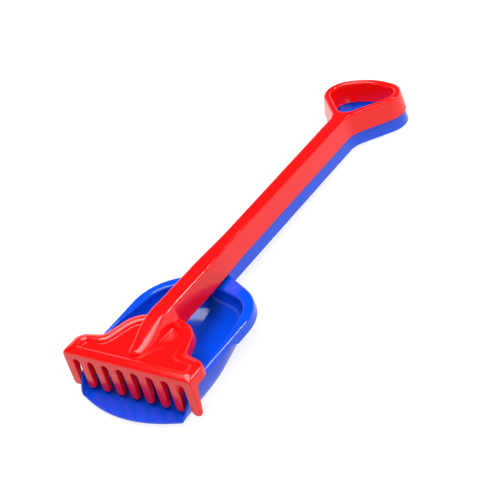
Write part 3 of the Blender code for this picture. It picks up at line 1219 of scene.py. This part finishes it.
@dataclass
class Scoop(NestedTool):
    """The scoop: an open-fronted bowl with a rolled rim, a skirt behind and a nose."""

    mouth_y: float = -0.088
    rim_z: float = -0.0270
    floor_z: float = -0.0550
    skirt_bottom_z: float = -0.0362
    lip_bottom_z: float = -0.0312
    skirt_end_y: float = -0.164
    skirt_step: float = 0.010
    rim_corner: Corner = Corner(0.0652, -0.1175, 0.050, 24)
    rim_front: Corner = Corner(0.0628, -0.218)
    rim_roll: float = 0.0026
    rim_fall: float = 0.0026
    rim_overhang: float = 0.0002
    well_rear_y: float = -0.1070
    well_corner: Corner = Corner(0.0490, -0.1210, 0.028, 24)
    well_side: Corner = Corner(0.0590, -0.1780, 0.100, 24)
    well_round: float = 0.0026
    well_round_least: float = 0.3
    well_round_start_y: float = -0.205
    well_round_run: float = 0.05
    edge_steps: int = 5
    flare: float = 0.0012
    nose_tip_y: float = -0.1045
    nose_slope: float = 0.42
    nose_roundness: float = 1.3
    nose_fillet: float = 0.0008
    ridge_end_y: float = -0.0985
    ridge_fall: float = 0.0060
    floor_rear_y: float = -0.168
    floor_rear_corner: Corner = Corner(0.0440, -0.1720, 0.030, 24)
    floor_side: Corner = Corner(0.0525, -0.2100, 0.080, 24)
    floor_corner: Corner = Corner(0.0540, -0.2500)
    front_bulge: float = 0.012
    bowl_power: float = 2.4
    sweep_start_y: float = -0.195
    wall_levels: int = 20
    roll_steps: int = 7
    row_points: int = 150
    nose_points: int = 26
    floor_rows: int = 24

    def scuff(self, point: Vector) -> float:
        """Sand wears the floor towards its front edge, and the grip a little."""
        floor = eased((-0.2 - point.y) / 0.06) * eased((-0.047 - point.z) / 0.006)
        return max(floor, 0.25 * eased((point.y - 0.19) / 0.04))

    def skirt_z(self, y: float) -> float:
        """The skirt's lower edge: deep round the rear, a shallow lip along the front."""
        share = eased((self.skirt_end_y - y) / self.skirt_step)
        return self.skirt_bottom_z + (self.lip_bottom_z - self.skirt_bottom_z) * share

    def nose_corners(self) -> list[Corner]:
        """The nose's foot, from the handle's side to its tip.

        Returns:
            The corners of its open outline.
        """
        foot_x = self.channel.foot_reach(self.mouth_y)
        tip_half = foot_x - self.nose_slope * (self.mouth_y - self.nose_tip_y)
        return [
            Corner(foot_x - self.nose_slope * self.flare, self.mouth_y - self.flare),
            Corner(tip_half, self.nose_tip_y, tip_half * self.nose_roundness),
            Corner(0.0, self.nose_tip_y),
        ]

    def head(self, skin: Skin) -> list[Vector]:
        """Lofts skirt, rim, nose, walls and floor.

        Args:
            skin: The skin that they become part of.

        Returns:
            The handle's section at the bowl.
        """
        corners = self.nose_corners()
        slide = corners[1].place - corners[0].place
        rim = Outline((corners[0], self.rim_corner, self.rim_front), (tuple(slide), (1, 0)))
        lines = [raised(resampled(rim.points(-self.flare), self.row_points), self.skirt_z)]
        for k in range(self.roll_steps + 1):
            angle = math.pi / 2 * k / self.roll_steps
            inset = self.rim_roll - (self.rim_roll + self.rim_overhang) * math.cos(angle)
            z = self.rim_z - self.rim_fall * (1 - math.sin(angle))
            lines.append(raised(resampled(rim.points(inset), self.row_points), z))
        skin.loft(lines)
        edge = lines[-1]
        foot = Outline(tuple(corners), (tuple(slide), (0, 1))).points()
        foot = resampled([edge[0].xy] + [p for p in foot if p.y < edge[0].y], self.nose_points)
        feet = [line[0] for line in lines[:-1]] + raised(foot, self.rim_z)
        spine = self.spine(feet, self.ridge_end_y, feet[1].y, self.ridge_fall)
        columns = self.nose_columns(feet, spine)
        skin.loft(columns)
        self.loft_bowl(skin, raised(foot, self.rim_z)[::-1] + edge[1:])
        return columns[0]

    def loft_bowl(self, skin: Skin, inner: list[Vector]) -> None:
        """Lofts the rim's flat, the walls and the floor.

        Args:
            skin: The skin that they become part of.
            inner: The rim's inner row, from the nose's tip to the front.
        """
        count = len(inner)
        ends = ((0, 1), (1, 0))
        well_rear = Corner(0.0, self.well_rear_y)
        well_front = Corner(self.well_side.x, self.rim_front.y)
        well = Outline((well_rear, self.well_corner, self.well_side, well_front), ends)
        floor_rear = Corner(0.0, self.floor_rear_y)
        floor_chain = (floor_rear, self.floor_rear_corner, self.floor_side, self.floor_corner)
        floor = Outline(floor_chain, ends)
        flat_well = resampled(well.points(), count)
        flat_floor = resampled(floor.points(), count)
        outward = resampled(well.points(-self.well_round), count)
        rows = [inner]
        for k in range(self.edge_steps + 1):
            angle = math.pi / 2 * k / self.edge_steps
            row = []
            for near, far in zip(flat_well, outward):
                size = self.edge_size(near.y)
                place = near.lerp(far, size * (1 - math.sin(angle)))
                z = self.rim_z - self.well_round * size * (1 - math.cos(angle))
                row.append(Vector((place.x, place.y, z)))
            rows.append(row)
        top = [point.z for point in rows[-1]]
        for k in range(1, self.wall_levels + 1):
            angle = math.pi / 2 * k / self.wall_levels
            inward = 1 - math.cos(angle) ** (2 / self.bowl_power)
            down = math.sin(angle) ** (2 / self.bowl_power)
            row = []
            for near, far, z in zip(flat_well, flat_floor, top):
                place = near.lerp(far, inward)
                row.append(Vector((place.x, place.y, z + (self.floor_z - z) * down)))
            rows.append(self.swept(row, down))
        skin.loft(rows)
        self.loft_floor(skin, rows[-1])

    def edge_size(self, y: float) -> float:
        """How large the rounding between rim and wall is: full at the rear, least at the front."""
        share = eased((y - self.well_round_start_y) / self.well_round_run)
        return self.well_round_least + (1 - self.well_round_least) * share

    def swept(self, points: list[Vector], depth: float) -> list[Vector]:
        """Draws a wall row's front end along the side wall's swept front edge.

        Args:
            points: The row, changed in place.
            depth: How far down the wall it lies, from 0 to 1.

        Returns:
            The same points.
        """
        end_y = points[-1].y
        edge_y = self.rim_front.y + (self.floor_corner.y - self.rim_front.y) * math.sqrt(depth)
        stretch = (edge_y - self.sweep_start_y) / (end_y - self.sweep_start_y)
        for point in points:
            if point.y < self.sweep_start_y:
                point.y = self.sweep_start_y + (point.y - self.sweep_start_y) * stretch
        return points

    def loft_floor(self, skin: Skin, edge: list[Vector]) -> None:
        """Lofts the flat floor out to its bowed front edge.

        Args:
            skin: The skin that it becomes part of.
            edge: The floor's edge row, from the rear middle to the front corner.
        """
        rear_y, corner = edge[0].y, edge[-1]
        tip_y = corner.y - self.front_bulge
        last = len(edge) - 1
        rows = []
        for k in range(self.floor_rows + 1):
            share = k / self.floor_rows
            row = []
            for i, point in enumerate(edge):
                along = i / last
                middle_y = rear_y + (tip_y - rear_y) * along
                bow = self.front_bulge * (share * share - share) * along
                y = point.y + (middle_y - point.y) * share + bow
                row.append(Vector((point.x * (1 - share), y, self.floor_z)))
            rows.append(row)
        skin.loft(rows)

    def close(self, skin: Skin) -> None:
        """Turns the faces outwards and rounds the nose's foot.

        Args:
            skin: The joined skin.
        """
        skin.face_out(Vector((0, 0, 1)))
        foot_start_y = self.mouth_y - 0.003

        def at_nose_foot(p: Vector) -> bool:
            """Whether a point lies where the nose meets the rim."""
            return self.nose_tip_y - WELD < p.y < foot_start_y and abs(p.z - self.rim_z) < WELD

        skin.round_creases(at_nose_foot, self.nose_fillet, angle=CREASE_ANGLE)


@dataclass(frozen=True)
class Softbox:
    """A square studio light that points at the tools."""

    name: str
    place: tuple[float, float, float]
    size: float
    watts: float
    tint: tuple[float, float, float] = (1.0, 1.0, 1.0)

    def hang(self, aim: Vector) -> bpy.types.Object:
        """Adds the light, turned towards aim.

        Args:
            aim: The point that the light looks at.

        Returns:
            The light.
        """
        light = bpy.data.lights.new(self.name, "AREA")
        light.shape = "SQUARE"
        light.size = self.size
        light.energy = self.watts
        light.color = self.tint
        lamp = bpy.data.objects.new(self.name, light)
        bpy.context.scene.collection.objects.link(lamp)
        lamp.location = self.place
        lamp.rotation_euler = (aim - Vector(self.place)).to_track_quat("-Z", "Y").to_euler()
        return lamp


@dataclass(frozen=True)
class Studio:
    """A plain pale floor, soft light and the camera."""

    floor_size: float = 30.0
    floor_colour: tuple[float, float, float] = (0.16, 0.16, 0.16)
    floor_glow: float = 0.86
    horizon: float = 1.0
    sweep_heights: tuple[float, float] = (0.12, 0.42)
    ambient: float = 0.06
    lens: float = 82.575
    sensor: float = 36.0
    camera_place: tuple[float, float, float] = (0.5907, -0.68937, 0.63404)
    camera_right: tuple[float, float, float] = (0.8208, 0.5083, -0.2606)
    camera_up: tuple[float, float, float] = (-0.1280, 0.6080, 0.7837)
    softboxes: tuple[Softbox, ...] = (
        Softbox("key_softbox", (0.60, -0.35, 1.80), 1.5, 22.0),
        Softbox("rim_softbox", (0.70, 0.85, 1.25), 0.35, 10.0),
        Softbox("overhead_softbox", (-0.40, 0.10, 1.85), 1.3, 32.0),
    )

    def build(self, aim: Vector) -> None:
        """Sets the stage.

        Args:
            aim: The middle of the tools, which the lights point at.
        """
        self.floor()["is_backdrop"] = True
        for softbox in self.softboxes:
            softbox.hang(aim)
        self.world()
        self.camera()
        bpy.context.scene.view_settings.view_transform = "Standard"

    def floor(self) -> bpy.types.Object:
        """A matt floor on which the tools lie.

        Returns:
            The floor.
        """
        bpy.ops.object.select_all(action="DESELECT")
        bpy.ops.mesh.primitive_plane_add(size=self.floor_size)
        floor = bpy.context.object
        floor.name = "studio_floor"
        paper = bpy.data.materials.new("pale paper")
        paper.use_nodes = True
        shader = paper.node_tree.nodes["Principled BSDF"]
        shader.inputs["Base Color"].default_value = (*self.floor_colour, 1.0)
        shader.inputs["Roughness"].default_value = 0.9
        shader.inputs["Specular IOR Level"].default_value = 0.1
        shader.inputs["Emission Color"].default_value = (1.0, 1.0, 1.0, 1.0)
        shader.inputs["Emission Strength"].default_value = self.floor_glow
        floor.data.materials.append(paper)
        return floor

    def world(self) -> None:
        """A white sweep that reaches a little above the floor, and a dim ceiling."""
        world = bpy.data.worlds.new("studio surround")
        world.use_nodes = True
        nodes, links = world.node_tree.nodes, world.node_tree.links
        surround = nodes["Background"]
        surround.inputs["Color"].default_value = (1.0, 1.0, 1.0, 1.0)
        way = nodes.new("ShaderNodeTexCoord").outputs["Generated"]
        split = nodes.new("ShaderNodeSeparateXYZ")
        links.new(way, split.inputs["Vector"])
        fade = nodes.new("ShaderNodeMapRange")
        fade.interpolation_type = "SMOOTHSTEP"
        limits = (*self.sweep_heights, self.horizon, self.ambient)
        for name, number in zip(("From Min", "From Max", "To Min", "To Max"), limits):
            fade.inputs[name].default_value = number
        links.new(split.outputs["Z"], fade.inputs["Value"])
        links.new(fade.outputs["Result"], surround.inputs["Strength"])
        bpy.context.scene.world = world

    def camera(self) -> bpy.types.Object:
        """The camera, which looks down on the tools from their head's right side.

        Returns:
            The camera.
        """
        lens = bpy.data.cameras.new("camera")
        lens.lens = self.lens
        lens.sensor_width = self.sensor
        lens.clip_start = 0.02
        camera = bpy.data.objects.new("camera", lens)
        bpy.context.scene.collection.objects.link(camera)
        right, up = Vector(self.camera_right).normalized(), Vector(self.camera_up).normalized()
        back = right.cross(up).normalized()
        up = back.cross(right)
        turn = Matrix((right, up, back)).transposed().to_4x4()
        camera.matrix_world = Matrix.Translation(self.camera_place) @ turn
        bpy.context.scene.camera = camera
        return camera


RAKE_PLASTIC = GlossPlastic(
    "red gloss plastic",
    colour=(0.86, 0.004, 0.004),
    deep=(0.80, 0.003, 0.004),
    scuffed=(0.88, 0.08, 0.07),
)
SCOOP_PLASTIC = GlossPlastic(
    "blue gloss plastic",
    colour=(0.001, 0.068, 0.72),
    deep=(0.001, 0.058, 0.66),
    scuffed=(0.02, 0.12, 0.80),
)


def main() -> None:
    """Builds the scoop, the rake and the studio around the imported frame."""
    logging.basicConfig(level=logging.INFO, format="%(message)s")
    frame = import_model()
    cad_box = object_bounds()
    rake_nodes = ("rake_head", "rake_comb", "rake_shaft", "rake_grip")
    scoop_nodes = ("scoop_bowl", "scoop_shaft", "scoop_grip")
    rake = Rake(Tool.RAKE, "rake_moulding", rake_nodes, RAKE_PLASTIC, drop=0.0)
    scoop = Scoop(Tool.SCOOP, "scoop_moulding", scoop_nodes, SCOOP_PLASTIC, drop=NEST_DROP)
    comb_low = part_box("rake_comb")[0]
    front = rake.front_y - rake.flare
    toe = Vector((0.0, front, rake.tine_tip_z))
    heel = toe + Vector((0.0, rake.tip_depth, 0.0))
    place = ToolFrame.on(frame["joints"][0]["axis"], comb_low, toe, heel)
    for tool in (scoop, rake):
        piece = tool.build(place)
        log.info("%s: %d faces", piece.name, len(piece.data.polygons))
    Studio().build((cad_box[0] + cad_box[1]) / 2)


if __name__ == "__main__":
    main()
